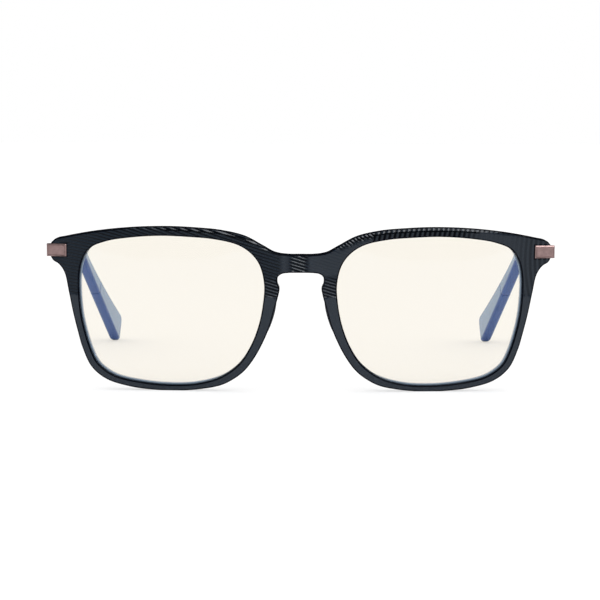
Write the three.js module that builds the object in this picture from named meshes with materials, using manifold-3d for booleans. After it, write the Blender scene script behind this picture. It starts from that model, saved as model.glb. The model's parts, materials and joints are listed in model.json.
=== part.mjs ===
// A pair of full-rim spectacles, standing open on a table.
// Millimetres. +X is the wearer's left, the front looks along -Y, +Z is up.
// The front is drawn as a flat sheet in (x, v, depth), then bent and leaned by formed().
// Each temple is drawn in its hinge's frame: x outward, y along the temple, z along the hinge pin.
import * as THREE from 'three';
import { mergeVertices } from 'three/addons/utils/BufferGeometryUtils.js';
import Module from 'manifold-3d';

const wasm = await Module();
wasm.setup();

// ---- driving dimensions ----
const GAP = 0.3; // between pieces that touch on the real object
const LEAN = THREE.MathUtils.degToRad(4.5); // top of the front towards -Y
const BEND_RADIUS = 480; // of the front sheet, about an upright axis
const LOW_POINT_X = 37; // where the lower rims reach furthest down
const FAR = 200; // beyond every part of the spectacles
const REST_FLAT = 0.107; // height at which the rims and tips are cut flat to stand on

const SHEET = 3.2;
const EDGE = 0.35; // chamfer of the sheet's edges
const LOOP_POINTS = 72; // around each lens opening
const POINTS_PER_SPAN = 2; // of the outer outline

const LENS_CENTRE = new THREE.Vector2(36, 23);
const LENS_FRONT = 0.8;
const LENS_THICKNESS = 1.6;
const LENS_BULGE = 1.6;
const DOME_SHARES = [0, 0.4, 0.75]; // of the way out to the rim, where the dome is stepped
const LENS_INTO_GROOVE = 0.5;
const GROOVE_DEPTH = 0.9;
const GROOVE_HALF_WIDTH = 1.15;

const PLATE = {
  inner: 64.6, outer: 70.1, height: 3.5, v: 38.65, proud: 0.35, thickness: 1.1, chamfer: 0.3,
};
const SIDE_CUT = 68.6; // the sheet's side is cut back to here behind the plate
const RIVET = { x: [65.5, 67.6], r: 0.6, hole: 0.75, head: 0.85, headThickness: 0.35 };
const SEAT_GAP = 0.05; // under the rivet and screw heads
const SMALL_CHAMFER = 0.1; // of the rivet and screw heads
const ROUND_SEGMENTS = 16;

const HINGE = { x: 66.75, y: 10.5, z: 38.3, slope: THREE.MathUtils.degToRad(3) };
const KNUCKLE = {
  r: 1.1, bore: 0.45, heights: [-1.65, -0.55, 0.55, 1.65], axialGap: 0.05, radialGap: 0.25,
};
const LEAF = { from: 0.5, to: 1.2, frontLength: 5.2, templeLength: 7.5 };
const SCREW = { r: 0.4, headR: 0.8, headHeight: 0.45, slot: 0.25 };

const ARM = { inner: 1.5, outer: 3.0, frontHeight: 3.4, rearHeight: 2.8 };
const ARM_LENGTH = 46; // to the mouth of the sleeve
const STRAP = { from: 0.6, thickness: 0.95 }; // beside the sheet, from the plate to the hinge
const REAR_BLOCK_FROM = 4.4; // behind the sheet
const PAD = { x: 9.0, v: 20.5, halfWidth: 1.5, halfHeight: 6.5, depth: 3.4, tilt: 17 };
const PAD_PROFILE = [[0, 0], [1, 0], [0.93, 0.4], [0.62, 0.8], [0, 1]]; // width and depth shares
const LOW = -1.7; // the tip's lower edge, below the middle of the hinge
const TIP_CENTRE_X = 2.55;
const BEND_START = 68; // along the temple, where it turns down over the ear
const BEND_ANGLE = THREE.MathUtils.degToRad(28.76);
const BEND_R = 22;
const SEAM = 101.5; // path length at the seam between sleeve and grip
const TEMPLE_END = 138.5; // path length at the tip
const TIP = {
  thickness: 3.3, thinnest: 0.2, thinnedOver: 3.6, slender: 2.8, flared: 9.1, growsFrom: 60,
  growth: 1.7, roundedOver: 4.5, lowerShare: 0.277,
};
const CORE = { height: 1.5, thickness: 0.8, levelFrom: 118, end: 125 };
const TOE_IN = { slope: 0.131, start: 78.1, blend: 5 };
const CORNER = { tip: 0.22, arm: 0.12, core: 0.2, channel: 0.1 }; // shares of the section's size
const BLUNT = 0.05; // how far short of a point the rounded tip stops
const STRAIGHT_STEP = 20; // between the temple's cross-sections
const CURVED_STEP = 4.5;
const LEAST_STEP = 0.4;
const END_STEPS = 6;

// ---- outlines, in sheet coordinates ----
// Right half of the outer outline, from the top of the bridge round to its underside.
const OUTER_HALF = [
  [0, 38.15], [3.9, 38.2], [7.1, 38.75], [10.4, 40.5], [15.4, 43.1], [21.9, 44.6], [28.5, 45.2],
  [37.0, 45.5], [46.9, 45.1], [56.9, 43.95], [65.0, 42.4], [68.0, 41.6], [69.1, 40.2], [69.15, 37.2],
  [68.45, 35.8], [66.8, 34.7], [65.3, 32.5], [64.1, 27.0], [63.0, 21.4], [61.8, 16.4], [60.35, 11.3],
  [57.95, 6.25], [53.85, 2.9], [47.1, 0.9], [40.4, 0.15], [34.0, 0.0], [27.1, 0.6], [22.0, 1.65],
  [18.7, 3.25], [15.35, 5.85], [12.05, 10.4], [8.7, 17.5], [7.2, 22.7], [5.9, 27.6], [5.75, 28.8],
  [6.3, 30.4], [6.2, 32.0], [5.3, 32.8], [3.9, 33.1], [0, 33.2],
];
// The right lens opening.
const OPENING = [
  [61.2, 28.2], [60.7, 21.3], [59.7, 16.4], [58.15, 11.3], [56.4, 7.65], [54.1, 5.45],
  [50.65, 3.65], [43.8, 2.25], [36.5, 1.65], [28.6, 2.05], [21.95, 4.0], [16.95, 7.65],
  [13.75, 12.5], [11.5, 18.45], [10.3, 24.5], [10.0, 30.0], [11.3, 35.3], [13.75, 38.55],
  [17.35, 40.8], [23.6, 42.25], [31.0, 42.85], [38.5, 43.05], [46.85, 42.45], [53.5, 41.3],
  [58.0, 39.35], [60.15, 36.15], [61.0, 32.7],
];

// ---- materials ----
const finish = (color, roughness, metalness = 0) =>
  new THREE.MeshStandardMaterial({ color, roughness, metalness });
const navyPlastic = () => finish(0x2c3743, 0.35);
const padPlastic = () => finish(0x333f4c, 0.3);
const lensPlastic = () => {
  const material = finish(0xfbf5e8, 0.05);
  material.transparent = true;
  material.opacity = 0.25;
  return material;
};
const gunmetal = () => finish(0x96807c, 0.35, 0.9);
const steel = () => finish(0xb4b6ba, 0.3, 0.9);
const bluePlastic = () => finish(0x4a5f92, 0.25);

// ---- mesh helpers ----

// Welded vertices only, without triangles that fold flat, and with the faces turned outward.
function tidied(geometry) {
  const bare = geometry.clone();
  bare.deleteAttribute('normal');
  bare.deleteAttribute('uv');
  const welded = mergeVertices(bare, 1e-5);
  const index = [...welded.getIndex().array];
  const kept = [];
  for (let i = 0; i < index.length; i += 3) {
    const [a, b, c] = index.slice(i, i + 3);
    if (a !== b && b !== c && c !== a) {
      kept.push([a, b, c]);
    }
  }
  welded.setIndex(kept.flat());
  if (signedVolume(welded) < 0) {
    welded.setIndex(kept.map(([a, b, c]) => [b, a, c]).flat());
  }
  return welded;
}

function signedVolume(geometry) {
  const position = geometry.getAttribute('position');
  const index = geometry.getIndex().array;
  const [a, b, c] = [new THREE.Vector3(), new THREE.Vector3(), new THREE.Vector3()];
  let sum = 0;
  for (let i = 0; i < index.length; i += 3) {
    a.fromBufferAttribute(position, index[i]);
    b.fromBufferAttribute(position, index[i + 1]);
    c.fromBufferAttribute(position, index[i + 2]);
    sum += a.dot(b.cross(c)) / 6;
  }
  return sum;
}

// Moves every vertex to place(x, y, z), which returns a new [x, y, z].
function warped(geometry, place) {
  const moved = geometry.clone();
  const position = moved.getAttribute('position');
  for (let i = 0; i < position.count; i++) {
    position.setXYZ(i, ...place(position.getX(i), position.getY(i), position.getZ(i), i));
  }
  return moved;
}

const mirrored = (geometry) => tidied(warped(geometry, (x, y, z) => [-x, y, z]));

function toSolid(geometry) {
  const clean = tidied(geometry);
  return new wasm.Manifold(new wasm.Mesh({
    numProp: 3,
    vertProperties: new Float32Array(clean.getAttribute('position').array),
    triVerts: new Uint32Array(clean.getIndex().array),
  }));
}

function toGeometry(solid) {
  const mesh = solid.getMesh();
  const geometry = new THREE.BufferGeometry();
  geometry.setAttribute('position', new THREE.BufferAttribute(mesh.vertProperties, 3));
  geometry.setIndex(new THREE.BufferAttribute(mesh.triVerts, 1));
  return geometry;
}

const cut = (body, ...tools) =>
  toGeometry(tools.reduce((solid, tool) => solid.subtract(toSolid(tool)), toSolid(body)));
const joined = (first, ...others) =>
  toGeometry(others.reduce((solid, other) => solid.add(toSolid(other)), toSolid(first)));

// A box between two corners.
function block(low, high) {
  const size = high.map((value, i) => value - low[i]);
  const middle = high.map((value, i) => (value + low[i]) / 2);
  return new THREE.BoxGeometry(...size).translate(...middle);
}

// A plate lying across z, with the edges of both faces chamfered.
function chamferedPlate(x0, x1, y0, y1, z0, z1, chamfer) {
  const shape = new THREE.Shape([
    new THREE.Vector2(x0, y0), new THREE.Vector2(x1, y0),
    new THREE.Vector2(x1, y1), new THREE.Vector2(x0, y1),
  ]);
  return new THREE.ExtrudeGeometry(shape, {
    depth: z1 - z0 - 2 * chamfer,
    bevelEnabled: true,
    bevelThickness: chamfer,
    bevelSize: chamfer,
    bevelOffset: -chamfer,
    bevelSegments: 1,
  }).translate(0, 0, z0 + chamfer);
}

// A turned piece from [radius, height] steps, standing along +Z.
const turned = (profile, segments) =>
  new THREE.LatheGeometry(profile.map(([r, h]) => new THREE.Vector2(r, h)), segments)
    .rotateX(Math.PI / 2);

// ---- the bend and lean of the front ----
const BEND_RISE = BEND_RADIUS * (1 - Math.cos(LOW_POINT_X / BEND_RADIUS));

function formedPoint(x, v, depth) {
  const angle = x / BEND_RADIUS;
  const radius = BEND_RADIUS - depth;
  const back = BEND_RADIUS - radius * Math.cos(angle) - BEND_RISE;
  return [
    radius * Math.sin(angle),
    back * Math.cos(LEAN) - v * Math.sin(LEAN),
    back * Math.sin(LEAN) + v * Math.cos(LEAN),
  ];
}

const formed = (geometry) => warped(geometry, formedPoint);

// Cuts a placed piece flat where it stands on the table.
const standing = (geometry) => cut(geometry, block([-FAR, -FAR, -FAR], [FAR, FAR, REST_FLAT]));

// ---- front frame ----
function closedCurve(points) {
  return new THREE.CatmullRomCurve3(
    points.map(([x, v]) => new THREE.Vector3(x, v, 0)), true, 'centripetal');
}

// Counter-clockwise, which lets ExtrudeGeometry turn the openings the right way itself.
function outerLoop() {
  const inside = OUTER_HALF.slice(1, -1);
  const otherHalf = inside.map(([x, v]) => [-x, v]).reverse();
  const points = [...OUTER_HALF, ...otherHalf].reverse();
  return closedCurve(points).getPoints(points.length * POINTS_PER_SPAN).slice(0, -1);
}

// The opening's outline moved outward by offset, always with the same points in step.
const openingCurve = closedCurve(OPENING);
const openingPoints = openingCurve.getSpacedPoints(LOOP_POINTS).slice(0, -1);

function openingLoop(offset) {
  return openingPoints.map((point, i) => {
    const before = openingPoints.at(i - 1);
    const after = openingPoints[(i + 1) % LOOP_POINTS];
    const along = after.clone().sub(before).normalize();
    const outward = new THREE.Vector2(-along.y, along.x);
    return new THREE.Vector2(point.x, point.y).addScaledVector(outward, offset);
  });
}

// A body of rings that follow the opening: each ring is [offset, share of the radius, depth].
function lensShaped(rings) {
  const profile = rings.map((_, i) => new THREE.Vector2(1, i));
  const loops = rings.map(([offset]) => openingLoop(offset));
  const lathe = new THREE.LatheGeometry(profile, LOOP_POINTS);
  const perColumn = rings.length;
  const placed = warped(lathe, (x, y, z, i) => {
    const ring = i % perColumn;
    const column = Math.floor(i / perColumn) % LOOP_POINTS;
    const [, share, depth] = rings[ring];
    const at = loops[ring][column].clone().lerp(LENS_CENTRE, 1 - share);
    return [at.x, at.y, depth];
  });
  return tidied(placed);
}

function lensGeometry() {
  const back = LENS_FRONT + LENS_THICKNESS;
  const middle = (LENS_FRONT + back) / 2;
  const bulge = (share) => LENS_BULGE * (1 - share * share);
  const face = DOME_SHARES;
  return formed(lensShaped([
    ...face.map((share) => [-GAP, share, LENS_FRONT - bulge(share)]),
    [-GAP, 1, LENS_FRONT],
    [LENS_INTO_GROOVE, 1, middle],
    [-GAP, 1, back],
    ...face.toReversed().map((share) => [-GAP, share, back - bulge(share)]),
  ]));
}

function grooveCutter() {
  const middle = LENS_FRONT + LENS_THICKNESS / 2;
  return lensShaped([
    [-EDGE, 1, middle - GROOVE_HALF_WIDTH],
    [GROOVE_DEPTH, 1, middle],
    [-EDGE, 1, middle + GROOVE_HALF_WIDTH],
    [-EDGE, 1, middle - GROOVE_HALF_WIDTH],
  ]);
}

function rivetHole(x) {
  const hole = turned([[0, -1], [RIVET.hole, -1], [RIVET.hole, SHEET + 1], [0, SHEET + 1]],
    ROUND_SEGMENTS);
  return hole.translate(x, PLATE.v, 0);
}

function frontFrameGeometry() {
  const shape = new THREE.Shape(outerLoop().map((p) => new THREE.Vector2(p.x, p.y)));
  for (const side of [1, -1]) {
    shape.holes.push(new THREE.Path(openingLoop(0).map((p) => new THREE.Vector2(side * p.x, p.y))));
  }
  const sheet = new THREE.ExtrudeGeometry(shape, {
    depth: SHEET - 2 * EDGE,
    bevelEnabled: true,
    bevelThickness: EDGE,
    bevelSize: EDGE,
    bevelOffset: -EDGE,
    bevelSegments: 1,
  }).translate(0, 0, EDGE);
  const halfHeight = PLATE.height / 2 + GAP;
  const recess = block(
    [PLATE.inner - GAP, PLATE.v - halfHeight, -1],
    [PLATE.outer + 1, PLATE.v + halfHeight, PLATE.thickness - PLATE.proud + GAP]);
  const sideCut = block(
    [SIDE_CUT, PLATE.v - halfHeight, -1],
    [PLATE.outer + 1, PLATE.v + halfHeight, SHEET + 1]);
  const tools = [recess, sideCut, grooveCutter(), ...RIVET.x.map(rivetHole)];
  const bothSides = tools.flatMap((tool) => [tool, mirrored(tool)]);
  return standing(formed(cut(sheet, ...bothSides)));
}

// A bonded pad: a half egg on the back of the sheet, tilted along the nose side of the rim.
function nosePadGeometry() {
  const dome = turned(PAD_PROFILE, ROUND_SEGMENTS);
  const egg = dome.scale(PAD.halfWidth, PAD.halfHeight, PAD.depth);
  egg.rotateZ(THREE.MathUtils.degToRad(PAD.tilt)).translate(PAD.x, PAD.v, SHEET + GAP);
  return tidied(formed(egg));
}

// ---- hinge frame ----
function inHingeFrame(geometry) {
  return geometry.clone().rotateX(-HINGE.slope).translate(HINGE.x, HINGE.y, HINGE.z);
}

function endPieceGeometry() {
  const half = PLATE.height / 2;
  const plate = formed(chamferedPlate(
    PLATE.inner, PLATE.outer, PLATE.v - half, PLATE.v + half,
    -PLATE.proud, PLATE.thickness - PLATE.proud, PLATE.chamfer));
  const armHalf = ARM.frontHeight / 2;
  const rearBlock = inHingeFrame(block(
    [ARM.inner, REAR_BLOCK_FROM - HINGE.y, -armHalf], [ARM.outer, -GAP / 2, armHalf]));
  const sideStrap = inHingeFrame(block(
    [ARM.outer - STRAP.thickness, STRAP.from - HINGE.y, -armHalf], [ARM.outer, -GAP, armHalf]));
  return joined(plate, rearBlock, sideStrap);
}

function rivetGeometry(x) {
  const from = PLATE.thickness - PLATE.proud + GAP;
  const seat = SHEET + SEAT_GAP;
  const top = seat + RIVET.headThickness;
  const { r, head } = RIVET;
  const rivet = turned([
    [0, from], [r, from], [r, seat], [head, seat], [head, top - SMALL_CHAMFER],
    [head - SMALL_CHAMFER, top], [0, top],
  ], ROUND_SEGMENTS);
  return tidied(formed(rivet.translate(x, PLATE.v, 0)));
}

function knuckle(low, high, radius) {
  return turned([[0, low], [radius, low], [radius, high], [0, high]], ROUND_SEGMENTS);
}

// A leaf with knuckles at some of the three levels, bored for the screw.
function leafGeometry(ownLevels, y0, y1) {
  const [bottom, top] = [KNUCKLE.heights[0], KNUCKLE.heights[3]];
  const level = (i) => [
    KNUCKLE.heights[i] + KNUCKLE.axialGap, KNUCKLE.heights[i + 1] - KNUCKLE.axialGap];
  const plate = block([LEAF.from, Math.min(y0, y1), bottom], [LEAF.to, Math.max(y0, y1), top]);
  const otherLevels = [0, 1, 2].filter((i) => !ownLevels.includes(i));
  const clearance = otherLevels.map((i) => {
    const [low, high] = level(i);
    const { axialGap, r, radialGap } = KNUCKLE;
    return knuckle(low - 2 * axialGap, high + 2 * axialGap, r + radialGap);
  });
  const cleared = cut(plate, ...clearance);
  const barrels = ownLevels.map((i) => knuckle(...level(i), KNUCKLE.r));
  const bore = knuckle(bottom - 1, top + 1, KNUCKLE.bore);
  return inHingeFrame(cut(joined(cleared, ...barrels), bore));
}

function hingeScrewGeometry() {
  const [bottom, top] = [KNUCKLE.heights[0], KNUCKLE.heights[3]];
  const { r, headR, headHeight, slot } = SCREW;
  const seat = top + SEAT_GAP;
  const crown = seat + headHeight;
  const screw = turned([
    [0, bottom], [r, bottom], [r, seat], [headR, seat], [headR, crown - SMALL_CHAMFER],
    [headR - SMALL_CHAMFER, crown], [0, crown],
  ], ROUND_SEGMENTS);
  const slotCutter = block([-1, -slot / 2, crown - headHeight / 2], [1, slot / 2, crown + 1]);
  return inHingeFrame(cut(screw, slotCutter));
}

// ---- temple ----
const BEND_END = BEND_START + BEND_R * BEND_ANGLE;

// The lower edge line of the temple at path length s: [y, z, angle below the straight part].
function templePath(s) {
  if (s <= BEND_START) {
    return [s, 0, 0];
  }
  const angle = Math.min((s - BEND_START) / BEND_R, BEND_ANGLE);
  const beyond = Math.max(s - BEND_END, 0);
  return [
    BEND_START + BEND_R * Math.sin(angle) + beyond * Math.cos(angle),
    -BEND_R * (1 - Math.cos(angle)) - beyond * Math.sin(angle),
    angle,
  ];
}

function toeIn(y) {
  const t = y - TOE_IN.start;
  return TOE_IN.slope * (Math.hypot(t, TOE_IN.blend) + t) / 2;
}

// 1 along the tip, then falling to 0 as a quarter circle over the last stretch.
function rounding(s, stretch) {
  const into = Math.max(s - (TEMPLE_END - stretch), 0) / stretch;
  return Math.sqrt(Math.max(1 - into * into, 0));
}

// Height of the blue tip at path length s: slender, then flared, then rounded off.
function tipHeight(s) {
  const { slender, flared, growsFrom, growth, roundedOver } = TIP;
  const stretch = TEMPLE_END - roundedOver - growsFrom;
  const share = THREE.MathUtils.clamp((s - growsFrom) / stretch, 0, 1) ** growth;
  return (slender + (flared - slender) * share) * rounding(s, roundedOver);
}

// The lower edge rises as the tip rounds off.
const tipLow = (s) => LOW + TIP.lowerShare * TIP.flared * (1 - rounding(s, TIP.roundedOver));

function tipThickness(s) {
  const { thickness, thinnest, thinnedOver } = TIP;
  return thickness * (thinnest + (1 - thinnest) * rounding(s, thinnedOver));
}

// An eight-sided bar that follows the temple between two path lengths. Its corners are cut by
// the share c of its size.
function bar(stations, centreX, thickness, lowEdge, height, c) {
  const shape = new THREE.Shape([
    [-0.5, -0.5 + c], [-0.5 + c, -0.5], [0.5 - c, -0.5], [0.5, -0.5 + c],
    [0.5, 0.5 - c], [0.5 - c, 0.5], [-0.5 + c, 0.5], [-0.5, 0.5 - c],
  ].map(([a, b]) => new THREE.Vector2(a, b)));
  const steps = stations.length - 1;
  const straight = new THREE.ExtrudeGeometry(shape, { depth: 1, steps, bevelEnabled: false });
  return tidied(warped(straight, (a, b, t) => {
    const s = stations[Math.round(t * steps)];
    const [y, z, angle] = templePath(s);
    const up = lowEdge(s) + (b + 0.5) * height(s);
    const yAt = y + up * Math.sin(angle);
    return [centreX - toeIn(yAt) + a * thickness(s), yAt, z + up * Math.cos(angle)];
  }));
}

// Path lengths from a to b, close together past the bend and closest at the rounded end.
function stationsBetween(a, b) {
  const roundedFrom = TEMPLE_END - TIP.roundedOver;
  const marks = [];
  for (let s = STRAIGHT_STEP; s < BEND_START; s += STRAIGHT_STEP) {
    marks.push(s);
  }
  for (let s = BEND_START; s < roundedFrom; s += CURVED_STEP) {
    marks.push(s);
  }
  for (let i = 0; i < END_STEPS; i++) {
    marks.push(roundedFrom + TIP.roundedOver * Math.sin(i * Math.PI / 2 / END_STEPS));
  }
  return [a, ...marks.filter((s) => s > a + LEAST_STEP && s < b - LEAST_STEP), b];
}

const ARM_CENTRE_X = (ARM.inner + ARM.outer) / 2;
const armHeight = (s) =>
  ARM.frontHeight + (ARM.rearHeight - ARM.frontHeight) * Math.min(s / ARM_LENGTH, 1);

function armGeometry() {
  const flat = bar(
    stationsBetween(GAP / 2, ARM_LENGTH), ARM_CENTRE_X, () => ARM.outer - ARM.inner,
    (s) => -armHeight(s) / 2, armHeight, CORNER.arm);
  const core = bar(
    stationsBetween(ARM_LENGTH - 1, CORE.end), TIP_CENTRE_X, () => CORE.thickness,
    coreLow, () => CORE.height, CORNER.core);
  return joined(flat, core);
}

const coreLow = (s) => LOW + (tipHeight(Math.min(s, CORE.levelFrom)) - CORE.height) / 2;

function coreChannel(from, to) {
  return bar(
    stationsBetween(from, to), TIP_CENTRE_X, () => CORE.thickness + 2 * GAP,
    (s) => coreLow(s) - GAP, () => CORE.height + 2 * GAP, CORNER.channel);
}

const tipBar = (from, to) =>
  bar(stationsBetween(from, to), TIP_CENTRE_X, tipThickness, tipLow, tipHeight, CORNER.tip);

function sleeveGeometry() {
  const from = ARM_LENGTH + GAP;
  const to = SEAM - GAP / 2;
  return cut(tipBar(from, to), coreChannel(from - 2, to + 2));
}

function gripGeometry() {
  const from = SEAM + GAP / 2;
  return cut(tipBar(from, TEMPLE_END - BLUNT), coreChannel(from - 2, CORE.end + GAP));
}

// ---- assembly ----
const glasses = new THREE.Group();

function add(parent, name, geometry, material) {
  const mesh = new THREE.Mesh(tidied(geometry), material);
  mesh.name = name;
  parent.add(mesh);
}

add(glasses, 'front_frame', frontFrameGeometry(), navyPlastic());

const rightHandPieces = {
  lens: [lensGeometry(), lensPlastic],
  nose_pad: [nosePadGeometry(), padPlastic],
  end_piece: [endPieceGeometry(), gunmetal],
  rivet_inner: [rivetGeometry(RIVET.x[0]), steel],
  rivet_outer: [rivetGeometry(RIVET.x[1]), steel],
  hinge_front_leaf: [leafGeometry([0, 2], -LEAF.frontLength, 0), steel],
  hinge_screw: [hingeScrewGeometry(), steel],
  hinge_temple_leaf: [leafGeometry([1], LEAF.templeLength, 0), steel],
  temple_arm: [inHingeFrame(armGeometry()), gunmetal],
  temple_sleeve: [inHingeFrame(sleeveGeometry()), bluePlastic],
  ear_grip: [standing(inHingeFrame(gripGeometry())), bluePlastic],
};
for (const [name, [geometry, material]] of Object.entries(rightHandPieces)) {
  add(glasses, `${name}_left`, geometry, material());
  add(glasses, `${name}_right`, mirrored(geometry), material());
}

// The origin is the middle of the whole object's footprint, on the table.
const extent = new THREE.Box3().setFromObject(glasses);
const footprint = extent.getCenter(new THREE.Vector3());
glasses.position.set(-footprint.x, -footprint.y, -extent.min.z);
glasses.updateMatrixWorld(true);

export default glasses;
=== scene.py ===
"""The looks of a pair of full-rim spectacles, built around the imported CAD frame.

Design lengths are millimetres, in the CAD's own terms. The front is a flat sheet in
(x, v, depth) that in_sheet() bends and leans. A temple is drawn in its hinge's frame:
x outward, y along the temple, z along the pin. Right-hand pieces are mirror images.
"""

import json
import math

import bpy
import numpy as np
from mathutils import Euler, Matrix, Quaternion, Vector, kdtree
from mathutils.geometry import delaunay_2d_cdt


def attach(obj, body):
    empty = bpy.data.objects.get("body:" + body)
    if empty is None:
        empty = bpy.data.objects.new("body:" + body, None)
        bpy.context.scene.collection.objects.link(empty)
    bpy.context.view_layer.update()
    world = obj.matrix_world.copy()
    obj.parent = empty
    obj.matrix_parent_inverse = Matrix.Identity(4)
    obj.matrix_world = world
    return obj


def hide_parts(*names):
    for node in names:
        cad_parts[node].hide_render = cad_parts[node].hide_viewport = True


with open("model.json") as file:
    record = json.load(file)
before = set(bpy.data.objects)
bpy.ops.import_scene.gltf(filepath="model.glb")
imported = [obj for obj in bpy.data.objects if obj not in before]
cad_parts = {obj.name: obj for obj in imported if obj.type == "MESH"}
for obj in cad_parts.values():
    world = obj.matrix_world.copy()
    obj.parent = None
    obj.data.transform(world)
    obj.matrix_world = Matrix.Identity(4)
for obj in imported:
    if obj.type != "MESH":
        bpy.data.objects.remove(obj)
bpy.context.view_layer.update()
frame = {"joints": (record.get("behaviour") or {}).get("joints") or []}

# ---- driving dimensions, as in the CAD ----
MM = 0.001
GAP = 0.3
LEAN = math.radians(4.5)
BEND_RADIUS = 480
LOW_POINT_X = 37
SHEET = 3.2
EDGE = 0.35
HAIR = 0.01  # tells one depth or side from the next

LENS_CENTRE = np.array([36.0, 23.0])
LENS_FRONT = 0.8
LENS_THICKNESS = 1.6
LENS_BULGE = 1.6
LENS_INTO_GROOVE = 0.5
GROOVE_DEPTH = 0.9
GROOVE_HALF_WIDTH = 1.15
EDGE_SHEEN_WIDTH = 0.48  # ring round each lens painted with the edge's reflection

PLATE = {"inner": 64.6, "outer": 70.1, "height": 3.5, "v": 38.65, "proud": 0.35, "thickness": 1.1,
         "chamfer": 0.3}
SIDE_CUT = 68.6
RIVET = {"x": [65.5, 67.6], "r": 0.6, "hole": 0.75, "head": 0.85, "head_thickness": 0.35}
SEAT_GAP = 0.05

HINGE = np.array([66.75, 10.5, 38.3])
KNUCKLE = {"r": 1.1, "bore": 0.45, "heights": [-1.65, -0.55, 0.55, 1.65], "axial_gap": 0.05,
           "radial_gap": 0.25}
LEAF = {"from": 0.5, "to": 1.2, "front_length": 5.2, "temple_length": 7.5}
SCREW = {"r": 0.4, "head_r": 0.8, "head_height": 0.45, "slot": 0.25}

ARM = {"inner": 1.5, "outer": 3.0, "front_height": 3.4, "rear_height": 2.8}
ARM_LENGTH = 46
STRAP = {"from": 0.6, "thickness": 0.95}
REAR_BLOCK_FROM = 4.4
PAD = {"x": 9.0, "v": 20.5, "half_width": 1.5, "half_height": 6.5, "depth": 3.4, "tilt": 17}
LOW = -1.7
TIP_CENTRE_X = 2.55
BEND_START = 68
BEND_ANGLE = math.radians(28.76)
BEND_R = 22
SEAM = 101.5
TEMPLE_END = 138.5
TIP = {"thickness": 3.3, "slender": 2.8, "flared": 9.1, "grows_from": 60, "growth": 1.7,
       "rounded_over": 4.5, "thinned_over": 3.6, "thinnest": 0.2, "lower_share": 0.277}
CORE = {"height": 1.5, "thickness": 0.8, "level_from": 118, "end": 125}
TOE_IN = {"slope": 0.131, "start": 78.1, "blend": 5}

# Right half of the outer outline, from the top of the bridge round to its underside.
OUTER_HALF = [
    (0, 38.15), (3.9, 38.2), (7.1, 38.75), (10.4, 40.5), (15.4, 43.1), (21.9, 44.6), (28.5, 45.2),
    (37.0, 45.5), (46.9, 45.1), (56.9, 43.95), (65.0, 42.4), (68.0, 41.6), (69.1, 40.2),
    (69.15, 37.2), (68.45, 35.8), (66.8, 34.7), (65.3, 32.5), (64.1, 27.0), (63.0, 21.4),
    (61.8, 16.4), (60.35, 11.3), (57.95, 6.25), (53.85, 2.9), (47.1, 0.9), (40.4, 0.15), (34, 0),
    (27.1, 0.6), (22.0, 1.65), (18.7, 3.25), (15.35, 5.85), (12.05, 10.4), (8.7, 17.5), (7.2, 22.7),
    (5.9, 27.6), (5.75, 28.8), (6.3, 30.4), (6.2, 32.0), (5.3, 32.8), (3.9, 33.1), (0, 33.2),
]
# The right lens opening.
OPENING = [
    (61.2, 28.2), (60.7, 21.3), (59.7, 16.4), (58.15, 11.3), (56.4, 7.65), (54.1, 5.45),
    (50.65, 3.65), (43.8, 2.25), (36.5, 1.65), (28.6, 2.05), (21.95, 4.0), (16.95, 7.65),
    (13.75, 12.5), (11.5, 18.45), (10.3, 24.5), (10.0, 30.0), (11.3, 35.3), (13.75, 38.55),
    (17.35, 40.8), (23.6, 42.25), (31.0, 42.85), (38.5, 43.05), (46.85, 42.45), (53.5, 41.3),
    (58.0, 39.35), (60.15, 36.15), (61.0, 32.7),
]

# ---- engraving of the front face ----
ENGRAVED_ABOVE = 26.5
FINE_STEP = 0.16  # between outline points beside the engraving
PLAIN_STEP = 0.5  # between outline points elsewhere
SWEEP_PITCH = 0.9
SWEEP_SLOPES = [(-70, 8), (-60, 11), (-50, 16), (-35, 19), (-12, 17), (20, 17)]
SWEEP_DEPTHS = [(-70, .10), (-58, .12), (-48, .16), (-25, .17), (-14, .15), (-6, .12), (-4.6, .04),
                (-3.4, .08), (-1.9, .24), (0.9, .24), (2.6, .04), (7, .03), (20, .03)]
NOSE_DEPTH = 0.2
LIT_SHARE = 0.42  # of the pitch: the flank that faces the light from above
COMB_PITCH = 1.36
COMB_LEAN = 0.22  # sideways per unit of height
COMB_LEVEL = 41  # height at which the upright ribs are spaced
COMB_DEPTHS = [(19, .16), (42, .16), (50, .05), (58, .05), (64, .08), (70, .08)]
# Least painted shade over the upright-rib area, by x.
COMB_DIMMING = [(19, .25), (42, .25), (52, .1), (70, .05)]
COMB_FROM = 19.5
BITE = 0.18  # how far the grooves may cut into the outline
STROKE_PITCH = 0.84
STROKE_SLOPE = 37
BEVEL_WIDTH = 0.6  # along the top edge, beside the rounding
BEVEL_DEPTH = 0.34
BEVEL_SHARES = [(-56, 0), (-46, .5), (-38, .8), (-14, .9), (-8, .2), (-6, 0), (7, 0), (12, .6),
                (19, 1), (46, 1), (54, .5), (62, 0)]
BEVEL_EDGE = 0.1  # the rounding left outside the bevel
LINE_WIDTH = 0.3  # painted shade line along the crease below the bevel, over the upright ribs
ROW_STEP = 0.34  # between points along a sloping groove
RIB_STEP = 0.3  # between points along an upright rib
FACE_TOP = 46  # above the whole face


# ---- from the design's terms to the row frame ----
joints = {joint["name"]: joint for joint in frame["joints"]}
SHIFT = np.array(joints["fold_left"]["pos_m"]) - HINGE * MM
PIN_SLOPE = math.asin(joints["fold_left"]["axis"][1])
BEND_RISE = BEND_RADIUS * (1 - math.cos(LOW_POINT_X / BEND_RADIUS))


def in_sheet(points):
    x, v, depth = np.asarray(points, float).T
    angle = x / BEND_RADIUS
    radius = BEND_RADIUS - depth
    back = BEND_RADIUS - radius * np.cos(angle) - BEND_RISE
    formed = np.column_stack([
        radius * np.sin(angle),
        back * math.cos(LEAN) - v * math.sin(LEAN),
        back * math.sin(LEAN) + v * math.cos(LEAN),
    ])
    return formed * MM + SHIFT


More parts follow.
